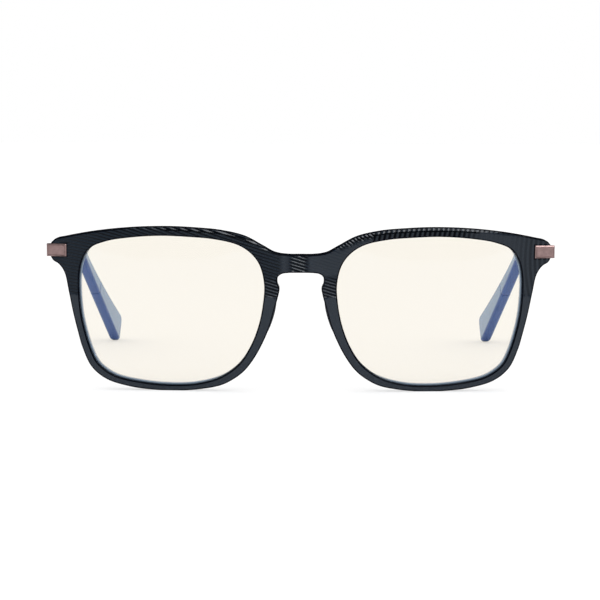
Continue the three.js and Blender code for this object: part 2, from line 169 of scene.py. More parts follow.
def in_hinge(points):
    x, y, z = np.asarray(points, float).T
    turned_y = y * math.cos(PIN_SLOPE) + z * math.sin(PIN_SLOPE)
    turned_z = z * math.cos(PIN_SLOPE) - y * math.sin(PIN_SLOPE)
    return (np.column_stack([x, turned_y, turned_z]) + HINGE) * MM + SHIFT


# ---- mesh helpers ----
def mesh_of(points, faces, name="part"):
    mesh = bpy.data.meshes.new(name)
    mesh.from_pydata([tuple(p) for p in points], [], faces)
    mesh.update()
    return mesh


def points_of(mesh):
    flat = np.empty(len(mesh.vertices) * 3)
    mesh.vertices.foreach_get("co", flat)
    return flat.reshape(-1, 3)


def set_points(mesh, points):
    mesh.vertices.foreach_set("co", np.asarray(points, float).ravel())
    mesh.update()
    return mesh


def volume_of(mesh):
    points = points_of(mesh)
    mesh.calc_loop_triangles()
    corners = np.array([t.vertices for t in mesh.loop_triangles])
    a, b, c = points[corners].transpose(1, 0, 2)
    return float(np.sum(a * np.cross(b, c)) / 6)


def faced_out(mesh):
    if volume_of(mesh) < 0:
        mesh.flip_normals()
    return mesh


def combined(mesh, tools, operation):
    """The mesh joined with the tools, or with them taken out of it."""
    scene = bpy.context.scene
    body = bpy.data.objects.new("carving", mesh)
    scene.collection.objects.link(body)
    others = []
    for tool in tools:
        other = bpy.data.objects.new("carver", tool)
        scene.collection.objects.link(other)
        modifier = body.modifiers.new("carve", "BOOLEAN")
        modifier.operation = operation
        modifier.solver = "MANIFOLD"
        modifier.object = other
        others.append(other)
    depsgraph = bpy.context.evaluated_depsgraph_get()
    result = bpy.data.meshes.new_from_object(body.evaluated_get(depsgraph))
    for temporary in [body, *others]:
        bpy.data.objects.remove(temporary)
    return result


def carved(mesh, *tools):
    return combined(mesh, tools, "DIFFERENCE")


def joined(mesh, *others):
    return combined(mesh, others, "UNION")


def loft(rings, closed=False):
    """A skin over rings of equally many points, with flat ends unless it closes on itself."""
    count = len(rings[0])
    points = np.concatenate([np.asarray(ring, float) for ring in rings])
    faces = []
    steps = len(rings) if closed else len(rings) - 1
    for i in range(steps):
        a, b = i * count, (i + 1) % len(rings) * count
        for j in range(count):
            k = (j + 1) % count
            faces.append((a + j, a + k, b + k, b + j))
    if not closed:
        faces.append(tuple(reversed(range(count))))
        faces.append(tuple(range(len(points) - count, len(points))))
    return faced_out(mesh_of(points, faces))


def circle(radius, height, count=48):
    angles = np.arange(count) * math.tau / count
    return np.column_stack([radius * np.cos(angles), radius * np.sin(angles),
                            np.full(count, height)])


def turned(profile, at=(0, 0, 0), count=48):
    """A turned piece along z, from (radius, height) steps."""
    return loft([circle(r, h, count) + np.array(at) for r, h in profile])


def pin(radius, low, high, at=(0, 0, 0), chamfer=0.0, count=48):
    if not chamfer:
        return turned([(radius, low), (radius, high)], at, count)
    return turned([(radius - chamfer, low), (radius, low + chamfer),
                   (radius, high - chamfer), (radius - chamfer, high)], at, count)


def rounded_section(width, height, corner, per_corner=6):
    """A rounded rectangle about (0, 0), counter-clockwise, as (a, b) pairs."""
    corner = min(corner, width / 2 - 1e-3, height / 2 - 1e-3)
    pairs = []
    for quarter, (sa, sb) in enumerate([(1, 1), (-1, 1), (-1, -1), (1, -1)]):
        for step in range(per_corner):
            angle = (quarter + step / (per_corner - 1)) * math.pi / 2
            pairs.append((sa * (width / 2 - corner) + corner * math.cos(angle),
                          sb * (height / 2 - corner) + corner * math.sin(angle)))
    return np.array(pairs)


def rounded_block(low, high, corner=0.1, axis=2, chamfer=None):
    """A block with rounded edges along one axis and a small round at its two ends."""
    low, high = np.array(low, float), np.array(high, float)
    chamfer = corner if chamfer is None else chamfer
    size, middle = high - low, (high + low) / 2
    first, second = [i for i in range(3) if i != axis]
    rings = []
    turns = np.linspace(0, math.pi / 2, 4)
    near = [(low[axis] + chamfer * (1 - math.sin(t)), chamfer * (1 - math.cos(t)))
            for t in reversed(turns)]
    far = [(high[axis] - chamfer * (1 - math.sin(t)), chamfer * (1 - math.cos(t)))
           for t in turns]
    for along, inset in near + far:
        section = rounded_section(size[first] - 2 * inset, size[second] - 2 * inset,
                                  max(corner - inset, 0.02))
        ring = np.empty((len(section), 3))
        ring[:, first] = section[:, 0] + middle[first]
        ring[:, second] = section[:, 1] + middle[second]
        ring[:, axis] = along
        rings.append(ring)
    return loft(rings)


# ---- curves ----
def smoothstep(low, high, value):
    t = np.clip((np.asarray(value, float) - low) / (high - low), 0, 1)
    return t * t * (3 - 2 * t)


def closed_curve(controls, per_span=40):
    """Points along the closed centripetal Catmull-Rom curve through the controls."""
    controls = np.asarray(controls, float)
    count = len(controls)
    t = np.linspace(0, 1, per_span, endpoint=False)[:, None]
    spans = []
    for i in range(count):
        p0, p1, p2, p3 = (controls[(i + k) % count] for k in (-1, 0, 1, 2))
        d0, d1, d2 = (math.sqrt(math.dist(a, b)) for a, b in ((p0, p1), (p1, p2), (p2, p3)))
        t1 = ((p1 - p0) / d0 - (p2 - p0) / (d0 + d1) + (p2 - p1) / d1) * d1
        t2 = ((p2 - p1) / d1 - (p3 - p1) / (d1 + d2) + (p3 - p2) / d2) * d1
        spans.append(p1 + t1 * t + (3 * (p2 - p1) - 2 * t1 - t2) * t ** 2
                     + (2 * (p1 - p2) + t1 + t2) * t ** 3)
    return np.concatenate(spans)


def respaced(loop, step_at):
    """The closed loop with steps of step_at(point) between its points."""
    ahead = np.roll(loop, -1, axis=0)
    lengths = np.hypot(*(ahead - loop).T)
    effort = np.concatenate([[0], np.cumsum(lengths / step_at(loop))])
    count = round(effort[-1])
    wanted = np.arange(count) * effort[-1] / count
    whole = np.vstack([loop, loop[:1]])
    return np.column_stack([np.interp(wanted, effort, whole[:, i]) for i in (0, 1)])


def outward_of(loop, passes=2):
    """Unit normals of a counter-clockwise loop, pointing out of it."""
    along = np.roll(loop, -1, axis=0) - np.roll(loop, 1, axis=0)
    along /= np.linalg.norm(along, axis=1)[:, None]
    normals = np.column_stack([along[:, 1], -along[:, 0]])
    for _ in range(passes):
        normals = (np.roll(normals, 1, axis=0) + 2 * normals + np.roll(normals, -1, axis=0)) / 4
        normals /= np.linalg.norm(normals, axis=1)[:, None]
    return normals


def counter_clockwise(loop):
    x, v = loop.T
    area = np.sum(x * np.roll(v, -1) - v * np.roll(x, -1))
    return loop if area > 0 else loop[::-1]


def inside_loop(points, loop):
    """Which points lie inside the closed loop."""
    x, v = np.asarray(points, float).T
    x0, v0 = loop.T
    x1, v1 = np.roll(loop, -1, axis=0).T
    inside = np.zeros(len(x), bool)
    for start in range(0, len(x), 4000):
        part = slice(start, start + 4000)
        px, pv = x[part, None], v[part, None]
        spans = (v0 > pv) != (v1 > pv)
        crossing = x0 + (pv - v0) * (x1 - x0) / np.where(v1 == v0, 1e-12, v1 - v0)
        inside[part] = np.sum(spans & (px < crossing), axis=1) % 2 == 1
    return inside


def by_height(loop):
    return np.where(loop[:, 1] > ENGRAVED_ABOVE - 1, FINE_STEP, PLAIN_STEP)


outer_controls = OUTER_HALF + [(-x, v) for x, v in reversed(OUTER_HALF[1:-1])]
outer_fine = counter_clockwise(closed_curve(outer_controls))
opening_fine = counter_clockwise(closed_curve(OPENING))
OUTER_LOOP = respaced(outer_fine, by_height)
OPENING_LOOP = respaced(opening_fine, by_height)
MIRROR = np.array([-1, 1])


# ---- engraving ----
top_points = outer_fine[(outer_fine[:, 1] > 37.0) & (np.abs(outer_fine[:, 0]) < 68.6)]
top_points = top_points[np.argsort(top_points[:, 0])]


def below_top(x, v):
    return np.interp(x, *top_points.T) - v


def table(pairs, x):
    return np.interp(x, *np.array(pairs, float).T)


slope_grid = np.linspace(-72, 72, 1441)
slope_steps = -np.tan(np.radians(table(SWEEP_SLOPES, slope_grid))) * (slope_grid[1] - slope_grid[0])
sweep_line = np.cumsum(slope_steps)


def sweep_phase(x, v):
    return (v - np.interp(x, slope_grid, sweep_line)) / SWEEP_PITCH


def comb_bow(x, v):
    """How far the upright grooves stand aside at this height: straight, then bowed."""
    bowed = smoothstep(47, 55, x)
    return (1 - bowed) * COMB_LEAN * (v - COMB_LEVEL) + bowed * 0.012 * (v - 37) ** 2


def comb_phase(x, v):
    base = x
    for _ in range(4):
        base = x - comb_bow(base, v)
    return base / COMB_PITCH


def stroke_phase(x, v):
    slope = math.radians(STROKE_SLOPE)
    return (x * math.sin(slope) + v * math.cos(slope)) / STROKE_PITCH


def saw(phase):
    """Depth over each pitch, going up: a flank that faces the light, then one that faces down."""
    part = phase % 1
    return np.where(part < LIT_SHARE, part / LIT_SHARE, 1 - smoothstep(LIT_SHARE, 1, part))


def shade(phase):
    """1 on the flanks that face down, which get painted shade."""
    part = phase % 1
    return smoothstep(LIT_SHARE - 0.04, LIT_SHARE + 0.14, part) * (1 - smoothstep(0.86, 1, part))


def comb_band(phase):
    """1 in the wide flat valleys between the upright ribs."""
    away = np.abs(phase % 1 - 0.5) * 2
    return 1 - smoothstep(0.42, 0.72, away)


def darkened(depth):
    """How much painted shade a cut of this depth gets."""
    return smoothstep(0.02, 0.16, depth)


def engraving(x, v):
    """At points of the front face: depth of the grooves, depth of the bevel, and painted shade."""
    x, v = np.asarray(x, float), np.asarray(v, float)
    from_top = below_top(x, v)
    engraved = v > ENGRAVED_ABOVE
    on_sweep = 1 - smoothstep(5.0, 6.5, x)
    on_comb = (x - COMB_LEAN * (v - COMB_LEVEL) > COMB_FROM).astype(float)
    on_stroke = (1 - on_sweep) * (1 - on_comb)
    beside_nose = smoothstep(4.4, 5.6, np.abs(x)) * (1 - smoothstep(11, 13, np.abs(x)))
    beside_nose *= 1 - smoothstep(30.5, 34, v)
    sweep_depth = np.maximum(table(SWEEP_DEPTHS, x), NOSE_DEPTH * beside_nose)
    rows = saw(sweep_phase(x, v))
    comb = comb_band(comb_phase(x, v))
    stroke = 0.2 * smoothstep(9, 12, x) * (1 - smoothstep(0.9, 2.2, from_top))
    strokes = saw(stroke_phase(x, v))
    faint = np.maximum(0.05, NOSE_DEPTH * beside_nose)
    depth = (on_sweep * sweep_depth * rows + on_comb * table(COMB_DEPTHS, x) * comb
             + on_stroke * (stroke * strokes + faint * rows))
    # From here on, dark is painted shade: on the down-facing flanks, in the rib valleys and over
    # the upright-rib area, between the ribs in the bevel, and along the crease under the bevel.
    shaded_rows = shade(sweep_phase(x, v))
    dark = on_sweep * shaded_rows * darkened(sweep_depth)
    dark += on_comb * np.maximum(comb * smoothstep(0.02, 0.14, table(COMB_DEPTHS, x)),
                                 table(COMB_DIMMING, x))
    dark += on_stroke * np.maximum(shade(stroke_phase(x, v)) * darkened(stroke),
                                   shaded_rows * darkened(faint))
    bevel = table(BEVEL_SHARES, x) * np.clip(1 - (from_top - BEVEL_EDGE) / BEVEL_WIDTH, 0, 1)
    in_bevel = smoothstep(0.05, 0.3, bevel)
    # Painted shade between the ribs where they cross the bevel.
    ticks = on_comb * (1 - smoothstep(0.2, 0.45, np.abs(comb_phase(x, v) % 1 - 0.5) * 2))
    dark = dark * (1 - in_bevel) + in_bevel * np.maximum(ticks, dark * (1 - on_comb))
    below_bevel = from_top - BEVEL_EDGE - BEVEL_WIDTH
    on_line = (below_bevel > -0.05) & (below_bevel < LINE_WIDTH) & (table(BEVEL_SHARES, x) > 0.8)
    dark = np.maximum(dark, on_line)
    return depth * engraved, BEVEL_DEPTH * bevel * engraved, np.clip(dark, 0, 1) * engraved


def engraving_points():
    """Points along the crests, flanks and valleys of the grooves."""
    found = []
    along = np.arange(-70, 20.5, ROW_STEP)
    line = np.interp(along, slope_grid, sweep_line)
    first = math.floor((ENGRAVED_ABOVE - line.max()) / SWEEP_PITCH)
    last = math.ceil((FACE_TOP - line.min()) / SWEEP_PITCH)
    parts = 8
    for i in range(first * parts, last * parts):
        shifted = along + (ROW_STEP / 2 if i % 2 else 0)
        found.append(np.column_stack([
            shifted, np.interp(shifted, slope_grid, sweep_line) + i * SWEEP_PITCH / parts]))
    sweep = np.concatenate(found)
    sweep = sweep[sweep[:, 0] - COMB_LEAN * (sweep[:, 1] - COMB_LEVEL) < COMB_FROM - 0.03]
    found = []
    heights = np.arange(ENGRAVED_ABOVE, FACE_TOP, RIB_STEP)
    parts = 10
    first = math.ceil(COMB_FROM / COMB_PITCH * parts)
    for i in range(first, math.ceil(71 / COMB_PITCH * parts)):
        base = i * COMB_PITCH / parts
        shifted = heights + (RIB_STEP / 2 if i % 2 else 0)
        found.append(np.column_stack([base + comb_bow(base, shifted), shifted]))
    comb = np.concatenate(found)
    both = np.concatenate([sweep, comb])
    return both[both[:, 1] > ENGRAVED_ABOVE - 0.1]


# ---- front frame ----
def edge_rings():
    """(inset, depth) steps across the front's rounded edge."""
    turns = np.linspace(0, math.pi / 2, 6)
    return [(EDGE * (1 - math.sin(t)), EDGE * (1 - math.cos(t))) for t in turns]


def wall_rings(grooved):
    front = edge_rings()
    back = [(inset, SHEET - depth) for inset, depth in reversed(front)]
    if not grooved:
        return front + [(0, SHEET * share) for share in (0.25, 0.42, 0.58, 0.75)] + back
    middle = LENS_FRONT + LENS_THICKNESS / 2
    half = GROOVE_HALF_WIDTH - 0.2
    return front + [(0, middle - half), (GROOVE_DEPTH, middle - 0.15),
                    (GROOVE_DEPTH, middle + 0.15), (0, middle + half)] + back


def face_triangles(loops, inner_points):
    """Triangles between an outer loop and openings, as (points, triangles); loops come first."""
    points = np.concatenate([*loops, inner_points])
    edges, start = [], 0
    for loop in loops:
        count = len(loop)
        edges += [(start + i, start + (i + 1) % count) for i in range(count)]
        start += count
    result = delaunay_2d_cdt([Vector(p) for p in points], edges, [], 0, 1e-5, True)
    triangles = np.array(result[2])
    origins = np.array([ids[0] for ids in result[3]])
    triangles = origins[triangles]
    doubtful = (triangles < start).all(axis=1)
    centres = points[triangles].mean(axis=1)
    keep = np.ones(len(triangles), bool)
    inside = inside_loop(centres[doubtful], loops[0])
    for hole in loops[1:]:
        inside &= ~inside_loop(centres[doubtful], hole)
    keep[doubtful] = inside
    return points, triangles[keep]


def front_frame_mesh():
    loops = [OUTER_LOOP, OPENING_LOOP, (OPENING_LOOP * MIRROR)[::-1]]
    # Away from the material: outward for the outline, inward for the openings.
    away = [outward_of(loops[0]), -outward_of(loops[1]), -outward_of(loops[2])]
    profiles = [wall_rings(False), wall_rings(True), wall_rings(True)]
    points, faces, zones, at = [], [], [], 0
    first_rings, last_rings = [], []
    for loop, normal, profile in zip(loops, away, profiles):
        count = len(loop)
        bevel_share = table(BEVEL_SHARES, loop[:, 0]) * (loop[:, 1] > 37) * (profile is profiles[0])
        bevelled = bevel_share > 0.45
        tightness = 1 - (1 - BEVEL_EDGE / EDGE) * bevel_share
        for i, (inset, depth) in enumerate(profile):
            flat = loop - normal * inset * (tightness[:, None] if depth < EDGE + HAIR else 1)
            points.append(np.column_stack([flat, np.full(count, depth)]))
            if i:
                straight = EDGE + HAIR < depth < SHEET - EDGE + HAIR
                zone = 2 if profile is not profiles[0] and straight else 1
                rounded = profile is profiles[0] and depth < EDGE + HAIR
                for j in range(count):
                    k = (j + 1) % count
                    low, high = at + (i - 1) * count, at + i * count
                    faces.append((low + j, low + k, high + k, high + j))
                    zones.append(0 if rounded and bevelled[j] else zone)
        first_rings.append(np.arange(at, at + count))
        last_rings.append(np.arange(at + (len(profile) - 1) * count, at + len(profile) * count))
        at += len(profile) * count
    rings = np.concatenate(points)
    boundary = rings[np.concatenate(first_rings)]
    near = kdtree.KDTree(len(boundary))
    for i, p in enumerate(boundary):
        near.insert((p[0], p[1], 0), i)
    near.balance()
    candidates = engraving_points()
    inside = inside_loop(candidates, rings[first_rings[0]][:, :2])
    for ring in first_rings[1:]:
        inside &= ~inside_loop(candidates, rings[ring][:, :2])
    candidates = candidates[inside]
    clear = np.array([near.find((p[0], p[1], 0))[2] > 0.12 for p in candidates])
    candidates = candidates[clear]
    face_loops = [rings[ring][:, :2] for ring in first_rings]
    _, triangles = face_triangles(face_loops, candidates)
    fixed = np.concatenate(first_rings)
    new_ids = np.concatenate([fixed, np.arange(at, at + len(candidates))])
    front_faces = new_ids[triangles]
    faces += [tuple(t) for t in front_faces.tolist()]
    zones += [0] * len(front_faces)
    rings = np.vstack([rings, np.column_stack([candidates, np.zeros(len(candidates))])])
    back_loops = [rings[ring][:, :2] for ring in last_rings]
    _, triangles = face_triangles(back_loops, np.empty((0, 2)))
    back_faces = np.concatenate(last_rings)[triangles][:, ::-1]
    faces += [tuple(t) for t in back_faces.tolist()]
    zones += [0] * len(back_faces)
    # The grooves sink into the face, and bite into the rounded edge beside it.
    x, v, depth = rings.T
    cut, bevel, dark = engraving(x, v)
    normals = np.zeros((len(rings), 2))
    at = 0
    for loop, normal, profile in zip(loops, away, profiles):
        for _ in profile:
            normals[at:at + len(loop)] = normal
            at += len(loop)
    lean = np.clip(depth / EDGE, 0, 1)
    fade = 1 - smoothstep(EDGE, 1.6, depth)
    at_top = smoothstep(0.5, 0.8, normals[:, 1]) * (v > 36)
    sunk = rings.copy()
    sunk[:, 2] += cut * (1 - lean) + bevel * fade
    bite = np.minimum(cut, BITE) * lean * fade * at_top
    sunk[:, :2] -= normals * bite[:, None]
    mesh = mesh_of(sunk, faces, "front_frame")
    mesh.polygons.foreach_set("material_index", zones)
    # The painted shade of the engraving, carried to the material as a point attribute.
    groove_shade = mesh.attributes.new("groove_shade", "FLOAT", "POINT")
    groove_shade.data.foreach_set("value", dark * np.maximum(1 - lean, at_top * fade))
    return mesh


def recess_tools():
    half = PLATE["height"] / 2 + GAP
    floor = PLATE["thickness"] - PLATE["proud"] + GAP
    low, high = PLATE["v"] - half, PLATE["v"] + half
    tools = []
    for side in (1, -1):
        for inner, bottom in ((PLATE["inner"] - GAP, floor), (SIDE_CUT, SHEET + 1)):
            x = sorted([side * inner, side * (PLATE["outer"] + 1)])
            tools.append(box_mesh((x[0], low, -1), (x[1], high, bottom)))
        tools += [pin(RIVET["hole"], -1, SHEET + 1, (side * x, PLATE["v"], 0)) for x in RIVET["x"]]
    return tools


def paint_recess_shade(mesh):
    """Gives the cut faces round the end plates the dark edge material, as painted shade in the
    recess.
    """
    reach = PLATE["height"] / 2 + GAP + HAIR
    for polygon in mesh.polygons:
        x, v, depth = polygon.center
        inside = abs(x) > PLATE["inner"] - GAP - 0.01 and abs(v - PLATE["v"]) < reach
        if inside and depth > 0.03:
            polygon.material_index = 1


def box_mesh(low, high):
    rings = [[(low[0], low[1], z), (high[0], low[1], z), (high[0], high[1], z),
              (low[0], high[1], z)] for z in (low[2], high[2])]
    return loft(rings)


# ---- lenses and nose pads ----
def lens_mesh():
    """The lens, with an "edge_sheen" attribute for the painted reflection on its edge ring, where
    that band shows.
    """
    loop = respaced(opening_fine, lambda points: np.full(len(points), 1.0))
    normal = outward_of(loop)
    back = LENS_FRONT + LENS_THICKNESS
    middle = (LENS_FRONT + back) / 2
    shares = [0.03, 0.15, 0.3, 0.45, 0.6, 0.72, 0.82, 0.9, 0.955]

    def ring(offset, share, depth):
        rim = loop + normal * offset
        flat = LENS_CENTRE + (rim - LENS_CENTRE) * share
        return np.column_stack([flat, np.full(len(flat), depth)])

    def dome(share):
        return LENS_BULGE * (1 - share * share)

    fit = -0.02
    rings = [ring(fit, s, LENS_FRONT - dome(s)) for s in shares]
    rings += [ring(fit - EDGE_SHEEN_WIDTH - 0.12, 1, LENS_FRONT - 0.05),
              ring(fit - EDGE_SHEEN_WIDTH, 1, LENS_FRONT - 0.04), ring(fit, 1, LENS_FRONT),
              ring(LENS_INTO_GROOVE - 0.08, 1, middle - 0.12),
              ring(LENS_INTO_GROOVE, 1, middle), ring(LENS_INTO_GROOVE - 0.08, 1, middle + 0.12),
              ring(fit, 1, back), ring(fit - EDGE_SHEEN_WIDTH, 1, back - 0.04)]
    rings += [ring(fit, s, back - dome(s)) for s in reversed(shares)]
    mesh = loft(rings)
    share_of_ring = np.zeros(len(rings))
    first = len(shares) + 1
    share_of_ring[first:first + 6] = 1
    # The painted edge reflection goes only from the outer side round to the bottom.
    facing = smoothstep(0.1, 0.6, 0.75 * normal[:, 0] - 0.65 * normal[:, 1])
    edge_sheen = mesh.attributes.new("edge_sheen", "FLOAT", "POINT")
    edge_sheen.data.foreach_set("value", np.outer(share_of_ring, facing).ravel())
    # Which rings take the pale part of the painted edge reflection; the others take its dark line.
    inner_rings = np.zeros(len(rings))
    inner_rings[:first + 1] = 1
    inner_rings[first + 5:] = 1
    pale = mesh.attributes.new("pale", "FLOAT", "POINT")
    pale.data.foreach_set("value", np.outer(inner_rings, np.ones(len(loop))).ravel())
    return mesh


def nose_pad_mesh():
    angles = np.arange(48) * math.tau / 48
    tilt = math.radians(PAD["tilt"])
    rings = []
    for t in [0, *np.linspace(0, 0.9, 12), 0.95, 0.98, 0.995]:
        share = math.sqrt(1 - t ** 2.4)
        x = PAD["half_width"] * share * np.cos(angles)
        v = PAD["half_height"] * share * np.sin(angles)
        rings.append(np.column_stack([
            PAD["x"] + x * math.cos(tilt) - v * math.sin(tilt),
            PAD["v"] + x * math.sin(tilt) + v * math.cos(tilt),
            np.full(len(angles), SHEET + GAP + PAD["depth"] * t)]))
    rings[0][:, 2] = SHEET + 0.02
    return loft(rings)


# ---- end pieces, rivets and hinges ----
def moved(mesh, place):
    return set_points(mesh, place(points_of(mesh)))


def end_plate_mesh():
    """A chamfered plate whose front has a fine scored line just inside the chamfer."""
    width, height = PLATE["outer"] - PLATE["inner"], PLATE["height"]
    front, back = -PLATE["proud"], PLATE["thickness"] - PLATE["proud"]
    chamfer = PLATE["chamfer"]
    steps = [(0.05, back), (0, back - 0.05), (0, front + chamfer), (chamfer, front),
             (chamfer + 0.06, front + 0.01), (chamfer + 0.1, front + 0.07),
             (chamfer + 0.15, front + 0.07), (chamfer + 0.2, front)]
    rings = []
    for inset, depth in steps:
        section = rounded_section(width - 2 * inset, height - 2 * inset, max(0.12 - inset, 0.03), 5)
        middle = (PLATE["outer"] + PLATE["inner"]) / 2
        rings.append(np.column_stack([section[:, 0] + middle, section[:, 1] + PLATE["v"],
                                      np.full(len(section), depth)]))
    return loft(rings)


def end_piece_mesh():
    plate = moved(end_plate_mesh(), in_sheet)
    arm_half = ARM["front_height"] / 2
    rear = moved(rounded_block(
        (ARM["inner"], REAR_BLOCK_FROM - HINGE[1], -arm_half), (ARM["outer"], -GAP / 2, arm_half),
        0.22, axis=1, chamfer=0.12), in_hinge)
    strap = moved(rounded_block(
        (ARM["outer"] - STRAP["thickness"], STRAP["from"] - HINGE[1], -arm_half),
        (ARM["outer"], -1.0, arm_half), 0.22, axis=1, chamfer=0.05), in_hinge)
    return joined(plate, rear, strap)


def rivet_mesh(x):
    start = PLATE["thickness"] - PLATE["proud"] + GAP
    seat = SHEET + SEAT_GAP
    top = seat + RIVET["head_thickness"]
    r, head = RIVET["r"], RIVET["head"]
    profile = [(r, start), (r, seat), (head - 0.04, seat), (head, seat + 0.05)]
    for t in np.linspace(0, math.pi / 2, 5)[1:]:
        profile.append((head - 0.35 * (1 - math.cos(t)), top - 0.25 + 0.25 * math.sin(t)))
    return turned(profile, (x, PLATE["v"], 0), 40)


def leaf_mesh(own_levels, y0, y1):
    bottom, top = KNUCKLE["heights"][0], KNUCKLE["heights"][3]
    gap = KNUCKLE["axial_gap"]

    def level(i):
        return KNUCKLE["heights"][i] + gap, KNUCKLE["heights"][i + 1] - gap

    plate = rounded_block((LEAF["from"], min(y0, y1), bottom), (LEAF["to"], max(y0, y1), top),
                          0.18, axis=0, chamfer=0.08)
    others = [i for i in range(3) if i not in own_levels]
    clearance = [pin(KNUCKLE["r"] + KNUCKLE["radial_gap"], level(i)[0] - 2 * gap,
                     level(i)[1] + 2 * gap)
                 for i in others]
    barrels = [pin(KNUCKLE["r"], *level(i), chamfer=0.09) for i in own_levels]
    solid = joined(carved(plate, *clearance), *barrels)
    return carved(solid, pin(KNUCKLE["bore"], bottom - 1, top + 1))


def hinge_screw_mesh():
    bottom, top = KNUCKLE["heights"][0], KNUCKLE["heights"][3]
    r, head_r = SCREW["r"], SCREW["head_r"]
    seat = top + SEAT_GAP
    crown = seat + SCREW["head_height"]
    profile = [(r - 0.08, bottom - 0.1), (r, bottom - 0.02), (r, seat), (head_r - 0.03, seat),
               (head_r, seat + 0.04), (head_r, crown - 0.18), (head_r - 0.05, crown - 0.07),
               (head_r - 0.17, crown - 0.01), (head_r - 0.3, crown)]
    slot = box_mesh((-1, -SCREW["slot"] / 2, seat + SCREW["head_height"] / 2),
                    (1, SCREW["slot"] / 2, seat + 1))
    return carved(turned(profile, count=48), slot)


# ---- temples ----
BEND_END = BEND_START + BEND_R * BEND_ANGLE


def temple_path(s):
    """The temple's lower edge line at path length s: y, z and angle below the straight part."""
    if s <= BEND_START:
        return s, 0.0, 0.0
    angle = min((s - BEND_START) / BEND_R, BEND_ANGLE)
    beyond = max(s - BEND_END, 0)
    return (BEND_START + BEND_R * math.sin(angle) + beyond * math.cos(angle),
            -BEND_R * (1 - math.cos(angle)) - beyond * math.sin(angle), angle)


def toe_in(y):
    t = y - TOE_IN["start"]
    return TOE_IN["slope"] * (math.hypot(t, TOE_IN["blend"]) + t) / 2


def rounding(s, stretch):
    into = max(s - (TEMPLE_END - stretch), 0) / stretch
    return math.sqrt(max(1 - into * into, 0))


def tip_height(s):
    stretch = TEMPLE_END - TIP["rounded_over"] - TIP["grows_from"]
    share = min(max((s - TIP["grows_from"]) / stretch, 0), 1) ** TIP["growth"]
    grown = TIP["slender"] + (TIP["flared"] - TIP["slender"]) * share
    return grown * rounding(s, TIP["rounded_over"])


def tip_low(s):
    return LOW + TIP["lower_share"] * TIP["flared"] * (1 - rounding(s, TIP["rounded_over"]))


def tip_thickness(s):
    thinnest = TIP["thinnest"]
    return TIP["thickness"] * (thinnest + (1 - thinnest) * rounding(s, TIP["thinned_over"]))


def arm_height(s):
    taper = min(s / ARM_LENGTH, 1)
    return ARM["front_height"] + (ARM["rear_height"] - ARM["front_height"]) * taper


def core_low(s):
    return LOW + (tip_height(min(s, CORE["level_from"])) - CORE["height"]) / 2


def section_at(s, centre_x, thickness, low, height, corner):
    """The rounded section of a bar that follows the temple."""
    y, z, angle = temple_path(s)
    ring = []
    for a, b in rounded_section(thickness, height, corner, 7):
        up = low + height / 2 + b
        y_at = y + up * math.sin(angle)
        ring.append((centre_x - toe_in(y_at) + a, y_at, z + up * math.cos(angle)))
    return np.array(ring)


def tip_section(s, inset=0.0):
    """The blue tip's section, drawn in on all sides by inset."""
    height, thickness = tip_height(s), tip_thickness(s)
    return section_at(s, TIP_CENTRE_X, thickness - 2 * inset, tip_low(s) + inset,
                      height - 2 * inset, min(1.05, 0.46 * height))


def channel_section(s, spare=GAP):
    return section_at(s, TIP_CENTRE_X, CORE["thickness"] + 2 * spare, core_low(s) - spare,
                      CORE["height"] + 2 * spare, 0.3)


def arm_section(s, inset=0.0):
    height = arm_height(s)
    middle = (ARM["inner"] + ARM["outer"]) / 2
    return section_at(s, middle, ARM["outer"] - ARM["inner"] - 2 * inset,
                      -height / 2 + inset, height - 2 * inset, 0.24)


def stations(start, end, step=1.2):
    return list(np.linspace(start, end, max(round((end - start) / step), 2)))


def lip(start, end, radius=0.16):
    """(path length, inset) steps of a rounded lip that opens from start towards end."""
    way = 1 if end > start else -1
    return [(start + way * radius * (1 - math.cos(t)), radius * (1 - math.sin(t)))
            for t in np.linspace(0, math.pi / 2, 4)]


def temple_arm_mesh():
    rings = [arm_section(s, inset) for s, inset in lip(GAP / 2, ARM_LENGTH, 0.1)]
    rings += [arm_section(s) for s in stations(1.2, ARM_LENGTH - 0.6, 4)]
    rings += [arm_section(s, inset) for s, inset in reversed(lip(ARM_LENGTH, 0, 0.2))]
    rings += [channel_section(s, 0) for s in stations(ARM_LENGTH + 0.02, CORE["end"], 1.5)]
    return loft(rings)


def sleeve_mesh():
    start, end = ARM_LENGTH + GAP, SEAM - GAP / 2
    rings = [tip_section(s, inset) for s, inset in lip(start, end, 0.35)]
    rings += [tip_section(s) for s in stations(start + 1, end - 0.8)]
    rings += [tip_section(s, inset) for s, inset in reversed(lip(end, start, 0.12))]
    rings += [channel_section(s) for s in reversed(stations(start, end))]
    return loft(rings, closed=True)


def grip_mesh():
    start = SEAM + GAP / 2
    rings = [channel_section(s) for s in reversed(stations(start, CORE["end"] + GAP))]
    rings += [tip_section(s, inset) for s, inset in lip(start, TEMPLE_END, 0.12)]
    rounded_from = TEMPLE_END - TIP["rounded_over"]
    rings += [tip_section(s) for s in stations(start + 0.8, rounded_from)]
    for t in np.linspace(0, math.pi / 2, 22)[1:-1]:
        rings.append(tip_section(rounded_from + (TIP["rounded_over"] - 0.05) * math.sin(t)))
    return loft(rings)


# ---- materials ----
def new_material(name):
    material = bpy.data.materials.new(name)
    material.use_nodes = True
    tree = material.node_tree
    tree.nodes.clear()
    output = tree.nodes.new("ShaderNodeOutputMaterial")
    return material, tree, output


def node(tree, kind, settings=None, **inputs):
    """A shader node; a value that is a socket gets linked, any other is set."""
    made = tree.nodes.new("ShaderNode" + kind)
    for key, value in (settings or {}).items():
        setattr(made, key, value)
    for key, value in inputs.items():
        socket = made.inputs[int(key[1:]) if key[0] == "i" and key[1:].isdigit()
                             else key.replace("_", " ")]
        if isinstance(value, bpy.types.NodeSocket):
            tree.links.new(value, socket)
        else:
            socket.default_value = value
    return made


